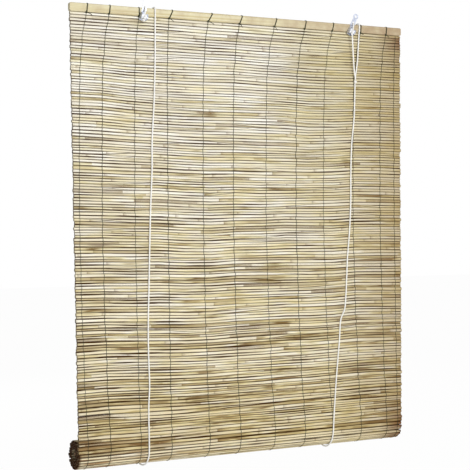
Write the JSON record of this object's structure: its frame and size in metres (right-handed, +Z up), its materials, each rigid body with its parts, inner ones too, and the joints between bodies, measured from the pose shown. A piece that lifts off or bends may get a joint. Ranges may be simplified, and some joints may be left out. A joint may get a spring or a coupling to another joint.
{
  "type": "roll-up reed blind",
  "caption": "Roll-up blind of thin reeds bound side by side under a wooden rail, its lower end rolled up behind and slung in lift cords from strap brackets with guide wheels.",
  "frame": {"origin": "midway between the two hanging eyes, in the middle of the straps' thickness", "axes": "+X to the right seen from the front, +Y back to the wall, +Z up"},
  "size_m": [0.9, 0.0983, 1.0984],
  "materials": {
    "pale_wood": "planed, unvarnished",
    "dry_reed": "dry natural reed, satin skin",
    "dark_thread": "twisted dark green thread",
    "zinc_steel": "zinc-plated sheet",
    "white_nylon": "moulded",
    "bright_steel": "bright wire and rivet",
    "white_cord": "laid cotton cord"
  },
  "bodies": {
    "blind": {"top_rail": "pale_wood", "reed_mat": "dry_reed", "mat_roll": "dry_reed", "core_batten": "pale_wood", "warp_threads": "dark_thread", "left_bracket": "zinc_steel", "right_bracket": "zinc_steel", "left_axle": "bright_steel", "right_axle": "bright_steel", "bracket_screws": "bright_steel", "cord_staples": "bright_steel", "left_cord": "white_cord", "right_cord": "white_cord", "left_stop_knot": "white_cord", "right_tie_knot": "white_cord", "cord_end_knots": "white_cord"},
    "left_guide_wheel": {"left_wheel": "white_nylon"},
    "right_guide_wheel": {"right_wheel": "white_nylon"}
  },
  "joints": [
    {"name": "left_wheel_spin", "type": "hinge", "parent": "blind", "child": "left_guide_wheel", "pos_m": [-0.29839, -0.00795, -0.0425], "axis": [0.9659, 0, -0.2588], "continuous": true},
    {"name": "right_wheel_spin", "type": "hinge", "parent": "blind", "child": "right_guide_wheel", "pos_m": [0.2684, -0.00795, -0.03988], "axis": [0.9063, 0, -0.4226], "continuous": true}
  ]
}
